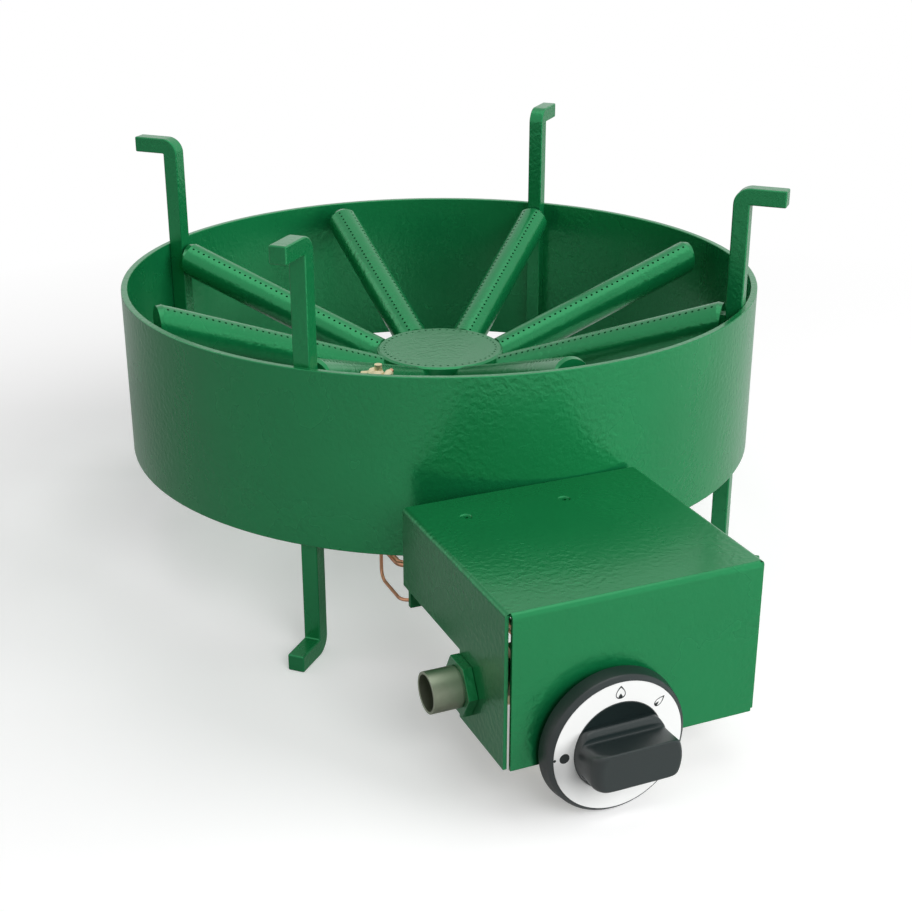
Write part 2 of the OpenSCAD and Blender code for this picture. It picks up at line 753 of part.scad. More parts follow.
module control_cover() {
    panel_x0 = -cover_left + sheet + flap_gap;
    panel_w = cover_w - 2 * sheet - 2 * flap_gap;
    color(green) placed() difference() {
        union() {
            // Top and side flaps as one bent channel, cut to the side outline
            intersection() {
                translate([-cover_left, -cover_back, 0]) rotate([90, 0, 0])
                    linear_extrude(panel_y - flap_setback - cover_back) difference() {
                        translate([0, tap_low]) round_top(cover_w, cover_z - tap_low, fold_r);
                        translate([sheet, tap_low - 1])
                            round_top(cover_w - 2 * sheet, cover_z - tap_low - sheet + 1, fold_r - sheet);
                    }
                union() {
                    side_cut(-cover_left - 1, cover_left, true);
                    side_cut(-1, cover_right + 2, false);
                }
            }
            // Front panel, bent down from the top
            translate([panel_x0, -panel_y, 0]) rotate([90, 0, 90]) linear_extrude(panel_w) difference() {
                union() {
                    translate([0, tap_low]) square([sheet, cover_z - tap_low - fold_r]);
                    translate([fold_r, cover_z - sheet]) square([3 * sheet, sheet]);
                    translate([fold_r, cover_z - fold_r]) circle(r = fold_r);
                }
                translate([fold_r, cover_z - fold_r]) circle(r = fold_r - sheet);
                translate([sheet, cover_z - 3 * fold_r]) square([3 * fold_r, 3 * fold_r - sheet]);
            }
        }
        // Relief between the flaps and the front bend
        for (x = [-cover_left - 1, cover_right - sheet - flap_gap])
            translate([x, -panel_y - 1, tap_low - 1])
                cube([sheet + flap_gap + 1, flap_setback + 1, cover_z]);
        rod_y(spindle_d / 2 + 1.5, panel_y - 2 * sheet, panel_y + 1, -tap_x, tap_z);
        for (side = [-1, 1]) {
            rod_y(screw_r + hole_slack, panel_y - 2 * sheet, panel_y + 1, -tap_x + side * panel_screw_x, tap_z);
            at_cover_screw(side) translate([0, 0, cover_z - sheet]) {
                translate([0, 0, -1]) cylinder(r = screw_r + hole_slack, h = sheet + 2);
                cylinder(r1 = screw_r + hole_slack, r2 = 1.65 * screw_r, h = sheet);
            }
        }
    }
}

module side_cut(x0, w, slot) {
    translate([x0, 0, 0]) mirror([0, 1, 0]) rotate([90, 0, 90]) linear_extrude(w) flap_outline(slot);
}

module at_cover_screw(side) {
    translate([-tap_x + screw_shift + side * screw_spacing / 2, -cover_back - screw_inset, 0]) children();
}

// Two countersunk screws through the cover's top into the bracket flange
module cover_screws() {
    head = 0.7 * sheet;
    color(green) placed() for (side = [-1, 1]) at_cover_screw(side) difference() {
        union() {
            translate([0, 0, cover_z - sheet]) cylinder(r1 = screw_r, r2 = 1.4 * screw_r, h = head);
            translate([0, 0, cover_z - sheet - plate_t - 1.5 * screw_r])
                cylinder(r = screw_r, h = plate_t + 1.5 * screw_r + head / 2);
        }
        translate([0, 0, cover_z - sheet + 0.4 * head]) cylinder(r = 0.65 * screw_r, h = sheet, $fn = 6);
    }
}

module rear_bracket() {
    notch_r = pilot_tube_d / 2 + 2;
    x0 = -cover_left + fold_r + 0.4;
    w = cover_w - 2 * fold_r - 0.8;
    top = cover_z - sheet - seat;
    low = ring_low - plate_drop;
    bend = 5;
    color(green) placed() difference() {
        translate([x0, -ring_r, 0]) mirror([0, 1, 0]) rotate([90, 0, 90]) linear_extrude(w) difference() {
            union() {
                translate([0, low]) square([plate_t, top - low - bend]);
                translate([bend, top - plate_t]) square([flange_l - bend, plate_t]);
                translate([bend, top - bend]) circle(r = bend);
            }
            translate([bend, top - bend]) circle(r = bend - plate_t);
            translate([plate_t, top - 4 * bend]) square([flange_l, 4 * bend - plate_t]);
        }
        rod_y(holder_af / sqrt(3) + 1, ring_r - 1, plate_y + 1, 0, line_z);
        translate([-holder_af / sqrt(3) - 1, -plate_y - 1, low - 1])
            cube([2 * holder_af / sqrt(3) + 2, plate_t + 2, max(1, line_z - low + 1)]);
        rod_y(notch_r, ring_r - 1, plate_y + 1, boss_x, line_z);
        translate([boss_x - notch_r, -plate_y - 1, low - 1])
            cube([2 * notch_r, plate_t + 2, max(1, line_z - low + 1)]);
        for (side = [-1, 1])
            at_cover_screw(side) translate([0, 0, top - 2 * plate_t])
                cylinder(r = screw_r + hole_slack, h = 3 * plate_t);
    }
}

// Flat web that fills the gap between the round ring and the flat plate
module bracket_gusset() {
    web_x = -cover_left + web_inset;
    color(green) placed() difference() {
        translate([web_x, -ring_r + seat, ring_low + web_low]) cube([plate_t, ring_r / 2, web_h]);
        cylinder(r = ring_r + seat, h = 2 * ring_top, $fn = 160);
    }
}

web_inset = 24;
web_low = 4;
web_h = 26;

// Strip that carries the pilot burner, with a foot bent down against the ring's inside
module pilot_bracket() {
    foot_x = ring_in - 3 * seat;
    foot_h = 11;
    color(steel) placed() facing(pilot_angle) difference() {
        union() {
            translate([pilot_r, -4, strip_z]) cube([foot_x - pilot_r, 8, strip_t]);
            translate([pilot_r, 0, strip_z]) cylinder(r = 7, h = strip_t);
            translate([foot_x - strip_t, -4, strip_z + strip_t - foot_h]) cube([strip_t, 8, foot_h]);
        }
        rod_x(stud_r + hole_slack, foot_x - 8, foot_x + 2, 0, clip_z);
        translate([pilot_r, 0, strip_z - 1]) cylinder(r = 3.5 + seat, h = strip_t + 2);
    }
}

stud_r = 1.5;

// Stud welded to the ring's inside, and its nut
module bracket_screw() {
    face = ring_in - 3 * seat - strip_t - seat;
    color(steel) placed() facing(pilot_angle) {
        rod_x(stud_r, face - 5, ring_in - seat, 0, clip_z);
        difference() {
            hex_x(5.5, face - 2.4, face, 0, clip_z);
            rod_x(stud_r + seat, face - 3, face + 1, 0, clip_z);
        }
    }
}

// Pilot burner: a hexagon body, a round head, a nozzle that points at the arm and a probe clamp
module pilot_burner() {
    foot = strip_z + strip_t + seat;
    clamp_l = 9;
    color(brass) placed() facing(pilot_angle) translate([pilot_r, 0, 0]) difference() {
        union() {
            translate([0, 0, strip_z - 4]) cylinder(r = 3.5, h = 8);
            translate([0, 0, foot]) cylinder(r = 5.2, h = 6, $fn = 6);
            translate([0, 0, foot]) cylinder(r = 4.6, h = pilot_top - 1.6 - foot);
            translate([0, 0, pilot_top - 1.6]) cylinder(r1 = 4.6, r2 = 3.4, h = 1.6);
            translate([0, probe_side / 4, pilot_top - 2]) cylinder(r = 2.2, h = 5);
            translate([0, 0, probe_z]) rotate([90, 0, 0]) cylinder(r1 = 3, r2 = 1.6, h = pilot_gap - 0.4);
            rod_x(2.4, -clamp_l / 2, clamp_l / 2, probe_side, probe_z);
            translate([-2.5, 2, probe_z - 1]) cube([5, probe_side - 2, 2]);
        }
        translate([0, 0, strip_z - 5]) cylinder(r = 1.8, h = probe_z - strip_z + 5);
        translate([0, 0, probe_z]) rotate([90, 0, 0]) cylinder(r = 1, h = 20);
        rod_x(lead_d / 2 + 0.5 + seat, -clamp_l, clamp_l, probe_side, probe_z);
    }
}

// Probe in the clamp, level, with its tip toward the hub
module thermocouple() {
    r = lead_d / 2 + 0.5;
    color(copper) placed() facing(pilot_angle) {
        rod_x(r, pilot_r - 9, pilot_r + 3, probe_side, probe_z);
        translate([pilot_r - 9, probe_side, probe_z]) rotate([0, -90, 0]) cylinder(r1 = r, r2 = r / 2, h = 1.5);
    }
}

// Lead of the thermocouple: out of the clamp, down through a ferrule, then over to the tap axis
module thermocouple_lead() {
    r = lead_d / 2;
    ferrule_z = round((probe_z + tap_z) / 2);
    color(copper) placed() {
        facing(pilot_angle) {
            rod_x(r, pilot_r + 3 + seat, lead_r - lead_bend, probe_side, probe_z);
            translate([lead_r - lead_bend, probe_side, probe_z - lead_bend]) rotate([90, 0, 0])
                rotate_extrude(angle = 90) translate([lead_bend, 0]) circle(r = r);
            translate([lead_r, probe_side, ferrule_z + 1]) cylinder(r = r, h = probe_z - lead_bend - ferrule_z - 1);
        }
        translate([lead_x, -lead_y, ferrule_z - 3]) cylinder(r = r + 0.8, h = 6);
        translate([lead_x, -lead_y, tap_z + lead_bend])
            cylinder(r = r, h = ferrule_z - 1 - tap_z - lead_bend);
        elbow(r, lead_bend, lead_x, lead_y, tap_z);
        stepped_line(r, lead_x, -tap_x, lead_y + lead_bend, magnet_back - 4, tap_z);
    }
}

module pilot_tube() {
    r = pilot_tube_d / 2;
    bend = 8;
    color(copper) placed() {
        translate([pilot_x, -pilot_y, line_z + bend]) cylinder(r = r, h = strip_z - 4 - seat - line_z - bend);
        elbow(r, bend, pilot_x, pilot_y, line_z);
        stepped_line(r, pilot_x, boss_x, pilot_y + bend, boss_back + 4 - seat, line_z);
    }
}

// One nut at the pilot burner and one at the tap
module pilot_nuts() {
    hex_r = pilot_tube_d / 2 + 2.6;
    color(brass) placed() {
        translate([pilot_x, -pilot_y, strip_z - 9]) difference() {
            cylinder(r = hex_r, h = 5 - seat, $fn = 6);
            translate([0, 0, -1]) cylinder(r = pilot_tube_d / 2 + seat, h = 8);
        }
        difference() {
            hex_y(hex_r * sqrt(3), boss_back - 5, boss_back - seat, boss_x, line_z);
            rod_y(pilot_tube_d / 2 + seat, boss_back - 6, boss_back + 1, boss_x, line_z);
        }
    }
}

wind_ring();
leg(-45);  // leg_front_left
leg(45);  // leg_front_right
leg(-135);  // leg_back_left
leg(135);  // leg_back_right
arm_lugs();
burner_hub();
burner_lid();
burner_arm(0);  // burner_arm_1
burner_arm(45);  // burner_arm_2
burner_arm(90);  // burner_arm_3
burner_arm(135);  // burner_arm_4
burner_arm(180);  // burner_arm_5
burner_arm(-135);  // burner_arm_6
burner_arm(-90);  // burner_arm_7
burner_arm(-45);  // burner_arm_8
mixing_tube();
air_shutter();
shutter_screw();
injector_holder();
injector();
feed_pipe();
feed_pipe_nuts();
inlet_pipe();
inlet_locknut();
valve_body();
valve_bonnet();
bonnet_screws();
valve_spindle();
valve_plug();
magnet_housing();
magnet_plunger();
plunger_spring();
knob();
knob_scale();
control_cover();
cover_screws();
rear_bracket();
bracket_gusset();
pilot_bracket();
pilot_burner();
pilot_tube();
pilot_nuts();
thermocouple();
thermocouple_lead();
bracket_screw();
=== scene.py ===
# Round gas burner on four bar legs, with a boxed tap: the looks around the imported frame
import json
import math

import bmesh
import bpy
import numpy as np
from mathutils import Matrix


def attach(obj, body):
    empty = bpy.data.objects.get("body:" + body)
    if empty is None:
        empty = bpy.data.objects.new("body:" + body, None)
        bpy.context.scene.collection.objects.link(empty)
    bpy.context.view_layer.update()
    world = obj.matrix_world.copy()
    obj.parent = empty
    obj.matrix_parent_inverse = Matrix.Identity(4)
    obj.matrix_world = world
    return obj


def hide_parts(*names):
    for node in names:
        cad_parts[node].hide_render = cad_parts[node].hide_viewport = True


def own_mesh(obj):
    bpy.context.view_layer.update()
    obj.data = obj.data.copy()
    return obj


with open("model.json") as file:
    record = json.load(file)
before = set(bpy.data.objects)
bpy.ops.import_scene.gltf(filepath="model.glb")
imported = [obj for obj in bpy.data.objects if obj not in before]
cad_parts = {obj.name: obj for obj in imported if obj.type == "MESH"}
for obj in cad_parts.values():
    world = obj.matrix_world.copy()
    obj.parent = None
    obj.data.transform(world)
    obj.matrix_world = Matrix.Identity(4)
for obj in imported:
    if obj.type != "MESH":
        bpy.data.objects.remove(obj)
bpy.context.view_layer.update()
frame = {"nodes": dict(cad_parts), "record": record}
nodes = frame["nodes"]
mm = 0.001
print("frame loaded:", len(nodes), "nodes")

# Shared places, in millimetres, in the frame of the part
place = {
    "axisY": 81.15,       # middle of the ring
    "tapX": -53.0,        # axis of the tap, its knob and its spring
    "tapZ": 38.3,
    "scaleFront": 341.8,  # front of the scale ring, ahead of the ring's middle
}


def addObject(name, data):
    made = bpy.data.objects.new(name, data)
    bpy.context.scene.collection.objects.link(made)
    return made


# Camera at the place it had for the photograph: angles in degrees, place and sensor in millimetres
cameraView = {
    "azimuth": -23.48, "elevation": 22.78, "place": (-374.8, -807.85, 452.0),
    "focalPixels": 1559.8, "frame": 912, "sensor": 36.0,
    "near": 0.01, "far": 50,  # metres
}
cameraData = bpy.data.cameras.new("camera")
cameraData.sensor_width = cameraView["sensor"]
cameraData.sensor_fit = "HORIZONTAL"
cameraData.lens = cameraView["focalPixels"] / cameraView["frame"] * cameraView["sensor"]
cameraData.clip_start = cameraView["near"]
cameraData.clip_end = cameraView["far"]
camera = addObject("camera", cameraData)
camera.location = [c * mm for c in cameraView["place"]]
camera.rotation_euler = (math.radians(90 - cameraView["elevation"]), 0,
                         math.radians(cameraView["azimuth"]))
bpy.context.scene.camera = camera
bpy.context.scene.view_settings.view_transform = "Standard"
print("camera placed")


def newMaterial(name):
    material = bpy.data.materials.new(name)
    material.use_nodes = True
    tree = material.node_tree
    shader = tree.nodes["Principled BSDF"]
    return material, tree, shader


def addNode(tree, kind, **values):
    # A value goes to the input of that name, or else to the node's own setting
    node = tree.nodes.new(kind)
    for key, value in values.items():
        if key in node.inputs:
            node.inputs[key].default_value = value
        else:
            setattr(node, key, value)
    return node


def rangeNode(tree, fromSpan, toSpan):
    node = tree.nodes.new("ShaderNodeMapRange")
    for name, value in zip(("From Min", "From Max", "To Min", "To Max"), (*fromSpan, *toSpan)):
        node.inputs[name].default_value = value
    return node


def newGroup(name, inputs, outputs):
    # Shader node group with named sockets: an input has its kind and its value, an output its kind
    group = bpy.data.node_groups.new(name, "ShaderNodeTree")
    newSocket = group.interface.new_socket
    for label, (kind, value) in inputs.items():
        socket = newSocket(name=label, in_out="INPUT", socket_type="NodeSocket" + kind)
        socket.default_value = value
    for label, kind in outputs.items():
        newSocket(name=label, in_out="OUTPUT", socket_type="NodeSocket" + kind)
    return group, group.nodes.new("NodeGroupInput"), group.nodes.new("NodeGroupOutput")


surfaceOutputs = {"Colour": "Color", "Roughness": "Float", "Normal": "Vector"}

# Hammered coat: noise scales per metre of the part, bump distances in metres
coatTexture = {
    "dimpleHeight": 0.0006, "peelScale": 1400.0, "peelHeight": 0.0002,
    "patchScale": 22.0, "patchSpan": (0.4, 0.65), "patchDepth": (0.35, 1.0),
    "toneScale": 13.0, "toneSpan": (0.3, 0.7),
}


def hammeredCoatGroup():
    # Hammered powder coat: dimples that come and go, a fine peel, and slow swings in tone
    k = coatTexture
    group, enter, leave = newGroup("hammeredCoat", {
        "Colour": ("Color", (0.03, 0.2, 0.08, 1)), "Dimple size": ("Float", 300),
        "Dimple depth": ("Float", 0.15), "Peel depth": ("Float", 0.05),
        "Tone swing": ("Float", 0.08), "Roughness": ("Float", 0.25)}, surfaceOutputs)
    link = group.links.new
    spot = group.nodes.new("ShaderNodeTexCoord")
    dimples = addNode(group, "ShaderNodeTexNoise", Detail=1.0, Roughness=0.4, Distortion=0.4)
    peel = addNode(group, "ShaderNodeTexNoise", Scale=k["peelScale"], Detail=1.0, Roughness=0.5)
    patches = addNode(group, "ShaderNodeTexNoise", Scale=k["patchScale"], Detail=2.0, Roughness=0.5)
    tone = addNode(group, "ShaderNodeTexNoise", Scale=k["toneScale"], Detail=4.0, Roughness=0.6)
    for noise in (dimples, peel, patches, tone):
        link(spot.outputs["Object"], noise.inputs["Vector"])
    link(enter.outputs["Dimple size"], dimples.inputs["Scale"])
    where = rangeNode(group, k["patchSpan"], k["patchDepth"])
    link(patches.outputs["Fac"], where.inputs["Value"])
    strength = addNode(group, "ShaderNodeMath", operation="MULTIPLY")
    link(enter.outputs["Dimple depth"], strength.inputs[0])
    link(where.outputs["Result"], strength.inputs[1])
    hammer = addNode(group, "ShaderNodeBump", Distance=k["dimpleHeight"])
    link(strength.outputs[0], hammer.inputs["Strength"])
    link(dimples.outputs["Fac"], hammer.inputs["Height"])
    skin = addNode(group, "ShaderNodeBump", Distance=k["peelHeight"])
    link(enter.outputs["Peel depth"], skin.inputs["Strength"])
    link(peel.outputs["Fac"], skin.inputs["Height"])
    link(hammer.outputs["Normal"], skin.inputs["Normal"])
    swing = rangeNode(group, k["toneSpan"], (-1.0, 1.0))
    link(tone.outputs["Fac"], swing.inputs["Value"])
    shade = addNode(group, "ShaderNodeMath", operation="MULTIPLY_ADD")  # 1 + swing times its share
    shade.inputs[2].default_value = 1.0
    link(swing.outputs["Result"], shade.inputs[0])
    link(enter.outputs["Tone swing"], shade.inputs[1])
    scaled = addNode(group, "ShaderNodeVectorMath", operation="SCALE")
    link(enter.outputs["Colour"], scaled.inputs[0])
    link(shade.outputs[0], scaled.inputs["Scale"])
    rough = addNode(group, "ShaderNodeMath", operation="MULTIPLY")
    link(enter.outputs["Roughness"], rough.inputs[0])
    link(shade.outputs[0], rough.inputs[1])
    link(scaled.outputs["Vector"], leave.inputs["Colour"])
    link(rough.outputs[0], leave.inputs["Roughness"])
    link(skin.outputs["Normal"], leave.inputs["Normal"])
    return group


# Bare metals: lines left by the lathe or the draw die, and a stain that covers up to its share
metalTexture = {"lineScale": 400.0, "lineHeight": 0.0003, "stainScale": 60.0,
                "stainSpan": (0.45, 0.75), "stainShare": 0.6, "stainRoughness": 0.25}


def machinedGroup():
    # Faint turning or drawing lines across a metal, with a little stain
    k = metalTexture
    group, enter, leave = newGroup("machinedMetal", {
        "Colour": ("Color", (0.6, 0.6, 0.6, 1)), "Stain": ("Color", (0.4, 0.35, 0.3, 1)),
        "Roughness": ("Float", 0.25), "Line depth": ("Float", 0.1),
        "Stretch": ("Vector", (1, 1, 1))}, surfaceOutputs)
    link = group.links.new
    spot = group.nodes.new("ShaderNodeTexCoord")
    stretch = addNode(group, "ShaderNodeVectorMath", operation="MULTIPLY")
    link(spot.outputs["Object"], stretch.inputs[0])
    link(enter.outputs["Stretch"], stretch.inputs[1])
    lines = addNode(group, "ShaderNodeTexNoise", Scale=k["lineScale"], Detail=2.0, Roughness=0.6)
    stains = addNode(group, "ShaderNodeTexNoise", Scale=k["stainScale"], Detail=4.0, Roughness=0.6)
    link(stretch.outputs[0], lines.inputs["Vector"])
    link(spot.outputs["Object"], stains.inputs["Vector"])
    mask = rangeNode(group, k["stainSpan"], (0.0, k["stainShare"]))
    link(stains.outputs["Fac"], mask.inputs["Value"])
    colour = addNode(group, "ShaderNodeMix", data_type="RGBA")  # colours: inputs 6 and 7, output 2
    link(mask.outputs["Result"], colour.inputs["Factor"])
    link(enter.outputs["Colour"], colour.inputs[6])
    link(enter.outputs["Stain"], colour.inputs[7])
    rough = addNode(group, "ShaderNodeMath", operation="MULTIPLY_ADD")
    rough.inputs[1].default_value = k["stainRoughness"]
    link(stains.outputs["Fac"], rough.inputs[0])
    link(enter.outputs["Roughness"], rough.inputs[2])
    bump = addNode(group, "ShaderNodeBump", Distance=k["lineHeight"])
    link(enter.outputs["Line depth"], bump.inputs["Strength"])
    link(lines.outputs["Fac"], bump.inputs["Height"])
    link(colour.outputs[2], leave.inputs["Colour"])
    link(rough.outputs[0], leave.inputs["Roughness"])
    link(bump.outputs["Normal"], leave.inputs["Normal"])
    return group


hammeredCoat = hammeredCoatGroup()
machinedMetal = machinedGroup()


def groupedMaterial(name, pattern, finish):
    # Colour, roughness and normal come from a pattern group, which takes this finish's values
    material, tree, shader = newMaterial(name)
    group = addNode(tree, "ShaderNodeGroup", node_tree=pattern)
    for key, value in finish["pattern"].items():
        group.inputs[key].default_value = value
    tree.links.new(group.outputs["Colour"], shader.inputs["Base Color"])
    for socket in ("Roughness", "Normal"):
        tree.links.new(group.outputs[socket], shader.inputs[socket])
    for key, value in finish["shader"].items():
        shader.inputs[key].default_value = value
    return material


finishes = {
    "enamel": {
        "shader": {"Metallic": 0.55, "Specular IOR Level": 0.5,
                   "Coat Weight": 0.2, "Coat Roughness": 0.14},
        "pattern": {"Colour": (0.008, 0.235, 0.075, 1), "Roughness": 0.27, "Dimple size": 320,
                    "Dimple depth": 0.65, "Peel depth": 0.05, "Tone swing": 0.05}},
    "knob_black": {
        "shader": {"Metallic": 0.0, "Specular IOR Level": 0.75,
                   "Coat Weight": 0.0, "Coat Roughness": 0.3},
        "pattern": {"Colour": (0.005, 0.012, 0.012, 1), "Roughness": 0.36, "Dimple size": 900,
                    "Dimple depth": 0.0, "Peel depth": 0.12, "Tone swing": 0.08}},
    "scale_white": {
        "shader": {"Metallic": 0.0, "Specular IOR Level": 0.5,
                   "Coat Weight": 0.2, "Coat Roughness": 0.25},
        "pattern": {"Colour": (0.9, 0.91, 0.9, 1), "Roughness": 0.35, "Dimple size": 900,
                    "Dimple depth": 0.01, "Peel depth": 0.04, "Tone swing": 0.02}},
}
metals = {
    # Steel: the grey of drawn steel, with a green tint in its colour that is a painted reflection
    # of the green coat around it
    "steel": ("drawnSteel", {"Colour": (0.31, 0.35, 0.26, 1), "Stain": (0.2, 0.2, 0.15, 1),
                             "Roughness": 0.26, "Line depth": 0.1, "Stretch": (0.2, 1, 1)}),
    "brass": ("turnedBrass", {"Colour": (0.78, 0.7, 0.47, 1), "Stain": (0.6, 0.5, 0.3, 1),
                              "Roughness": 0.42, "Line depth": 0.1, "Stretch": (1, 1, 1)}),
    "copper": ("drawnCopper", {"Colour": (0.72, 0.36, 0.22, 1), "Stain": (0.42, 0.2, 0.13, 1),
                               "Roughness": 0.22, "Line depth": 0.1, "Stretch": (1, 0.2, 1)}),
}
materials = {slot: groupedMaterial(slot + "Coat", hammeredCoat, finish)
             for slot, finish in finishes.items()}
for slot, (name, pattern) in metals.items():
    finish = {"shader": {"Metallic": 1.0}, "pattern": pattern}
    materials[slot] = groupedMaterial(name, machinedMetal, finish)
ink, _, inkShader = newMaterial("markInk")
inkShader.inputs["Base Color"].default_value = (0.015, 0.02, 0.02, 1)
inkShader.inputs["Roughness"].default_value = 0.5
print("materials made:", len(materials) + 1)

slotOf = {entry["node"]: entry["material_slot"] for entry in frame["record"]["subparts"]}
bodyOf = {node: body for body, members in frame["record"]["behaviour"]["bodies"].items()
          for node in members}
for name, node in nodes.items():
    node.data.materials.clear()
    node.data.materials.append(materials[slotOf[name]])


def makePiece(name, points, faces, body, slotName, material=None, smooth=True, closePoles=False):
    # A mesh from whole arrays, in metres, that rides on a body; closePoles joins the points that
    # meet and turns the faces outwards
    mesh = bpy.data.meshes.new(name)
    mesh.from_pydata(np.asarray(points, float).reshape(-1, 3).tolist(), [], faces.tolist())
    mesh.validate()
    if closePoles:
        build = bmesh.new()
        build.from_mesh(mesh)
        bmesh.ops.remove_doubles(build, verts=build.verts, dist=1e-6)
        bmesh.ops.recalc_face_normals(build, faces=build.faces)
        build.to_mesh(mesh)
        build.free()
    mesh.polygons.foreach_set("use_smooth", np.full(len(mesh.polygons), smooth))
    mesh.materials.append(material or materials[slotName])
    piece = addObject(name, mesh)
    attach(piece, body)
    return piece


def ringFaces(rows, columns):
    # Squares between the rows of a grid whose last column joins its first
    row, column = np.meshgrid(np.arange(rows - 1), np.arange(columns), indexing="ij")
    low, high = row * columns, (row + 1) * columns
    beside = (column + 1) % columns
    return np.stack([low + column, low + beside, high + beside, high + column], -1).reshape(-1, 4)


# Edge rounding of the painted pieces and the pipe, in millimetres, and angles in degrees
edgeRounding = {
    "widths": {"wind_ring": 0.6, "leg_front_left": 0.9, "leg_front_right": 0.9,
               "leg_back_left": 0.9, "leg_back_right": 0.9, "control_cover": 0.35,
               "inlet_pipe": 0.4, "inlet_locknut": 0.6, "rear_bracket": 0.3},
    "join": 0.002, "flatAngle": 0.4, "sharpAngle": 35, "segments": 2,
}


def softenedNode(name, width):
    # A copy of a node, its triangles joined and its sharp edges rounded, as paint leaves them
    k = edgeRounding
    sharp = math.radians(k["sharpAngle"])
    build = bmesh.new()
    build.from_mesh(nodes[name].data)
    bmesh.ops.remove_doubles(build, verts=build.verts, dist=k["join"] * mm)
    bmesh.ops.dissolve_limit(build, angle_limit=math.radians(k["flatAngle"]),
                             verts=build.verts, edges=build.edges)
    build.verts.index_update()
    points = [vertex.co[:] for vertex in build.verts]
    faces = [[corner.index for corner in face.verts] for face in build.faces]
    build.free()
    mesh = bpy.data.meshes.new(name + "Finish")
    mesh.from_pydata(points, [], faces)
    mesh.polygons.foreach_set("use_smooth", np.ones(len(mesh.polygons), bool))
    mesh.set_sharp_from_angle(angle=sharp)
    mesh.materials.append(materials[slotOf[name]])
    piece = addObject(name + "Finish", mesh)
    rounding = piece.modifiers.new("roundedEdges", "BEVEL")
    rounding.width = width * mm
    rounding.segments = k["segments"]
    rounding.limit_method = "ANGLE"
    rounding.angle_limit = sharp
    rounding.harden_normals = True
    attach(piece, bodyOf[name])
    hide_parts(name)


for name, width in edgeRounding["widths"].items():
    softenedNode(name, width)
print("edges rounded:", len(edgeRounding["widths"]), "pieces")


# Knob in millimetres: the skirt's outline by distance from the middle and depth in front of its
# back edge, and the grip's heights in front of the skirt's disc
knobShape = {
    "skirtBack": 332.8, "disc": 9.0, "columns": 192, "sharpAngle": 38,
    "skirt": [(0, 2), (35, 2), (35, 0.2), (35.2, 0), (37.8, 0), (38, 0.2), (36.95, 6.4),
              (36.75, 7.0), (36.35, 7.5), (34.95, 8.92), (34.7, 9), (34.5, 8.9), (34.5, 8.15),
              (23.7, 8.15), (23.7, 9.2), (23.5, 9.4), (23.2, 9.4), (22.6, 9.0), (0, 9.0)],
    "hub": 23.5, "height": 20.5, "cornerPower": 14,
    "endRound": (5.2, 2.0), "endRows": 14,  # rounding of the left and the right end
    "sunk": -0.4, "root": 13.9,  # the grip starts inside the disc
    "ledge": 10.3, "ledgeTop": 5.0, "ledgeRound": 3.6, "ledgeRows": 9,
    "footDepths": (5.04, 5.3, 5.9), "footFlare": (1.1, 0.35, 0.08),  # small fillet over the ledge
    "sideFrom": 6.8, "sideRows": 10, "sideGap": 0.6,
    "waist": 8.5, "waistDepth": 5.3, "front": 10.1, "sidePower": 1.5, "frontRound": 0.9,
    "topShrink": (0.99, 0.6, 0.25, 0.0),  # rows that close the grip's front
}


def onKnob(across, up, depth):
    return np.stack([across + place["tapX"], place["axisY"] - knobShape["skirtBack"] - depth,
                     up + place["tapZ"]], -1) * mm


def aroundKnob():
    return np.linspace(0, 2 * np.pi, knobShape["columns"], endpoint=False)


def knobSkirt():
    # The outline turned about the knob's axis: across = r cos t, up = r sin t
    outline = np.array(knobShape["skirt"], float)
    t = aroundKnob()
    r, depth = outline[:, :1], outline[:, 1:]
    return onKnob(r * np.cos(t), r * np.sin(t), depth + 0 * t)


def gripSides():
    # Depth and half thickness of each row: a quarter round up to the ledge, a fillet, then a side
    # that grows from the waist to the front with a power of the height, and rounds over at the edge
    # by a quarter circle
    k = knobShape
    top = k["height"]
    quarter = np.linspace(0, np.pi / 2, k["ledgeRows"])
    ledgeDepth = k["ledgeTop"] - k["ledgeRound"] + k["ledgeRound"] * np.sin(quarter)
    ledgeSide = k["ledge"] + k["ledgeRound"] * np.cos(quarter)
    endDepth = top - max(k["endRound"]) * (1 - np.sin(np.linspace(0, np.pi / 2, k["endRows"])))
    middle = np.linspace(k["sideFrom"], endDepth[0] - k["sideGap"], k["sideRows"])
    sideDepth = np.concatenate([k["footDepths"], middle, endDepth])
    s = np.clip((sideDepth - k["waistDepth"]) / (top - k["waistDepth"]), 0, 1)
    side = k["waist"] + (k["front"] - k["waist"]) * s ** k["sidePower"]
    side[:len(k["footFlare"])] += k["footFlare"]
    fall = np.clip((sideDepth - (top - k["frontRound"])) / k["frontRound"], 0, 1)
    side -= k["frontRound"] * (1 - np.sqrt(1 - fall ** 2))
    return (np.concatenate([[k["sunk"]], ledgeDepth, sideDepth])[:, None],
            np.concatenate([[k["root"]], ledgeSide, side])[:, None])


def knobGrip():
    # Round hub cut by two hollow sides: at each depth the outline's reach in direction t is the
    # smaller of the hub's radius and the side's distance over |sin t|, joined by a soft minimum;
    # both ends round over
    k = knobShape
    depth, side = gripSides()
    t = aroundKnob()
    left, right = k["endRound"]
    rounding = (left + right) / 2 - (left - right) / 2 * np.cos(t)
    into = np.clip((depth - (k["height"] - rounding)) / rounding, 0, 1)
    hub = k["hub"] - rounding * (1 - np.sqrt(1 - into ** 2))
    power = k["cornerPower"]
    reach = (hub ** -power + (np.abs(np.sin(t)) / side) ** power) ** (-1 / power)
    shrink = np.array(k["topShrink"])[:, None]
    reach = np.concatenate([reach, reach[-1:] * shrink])
    depth = np.concatenate([depth, np.full(shrink.shape, k["height"])])
    return onKnob(reach * np.cos(t), reach * np.sin(t), k["disc"] + depth + 0 * t)


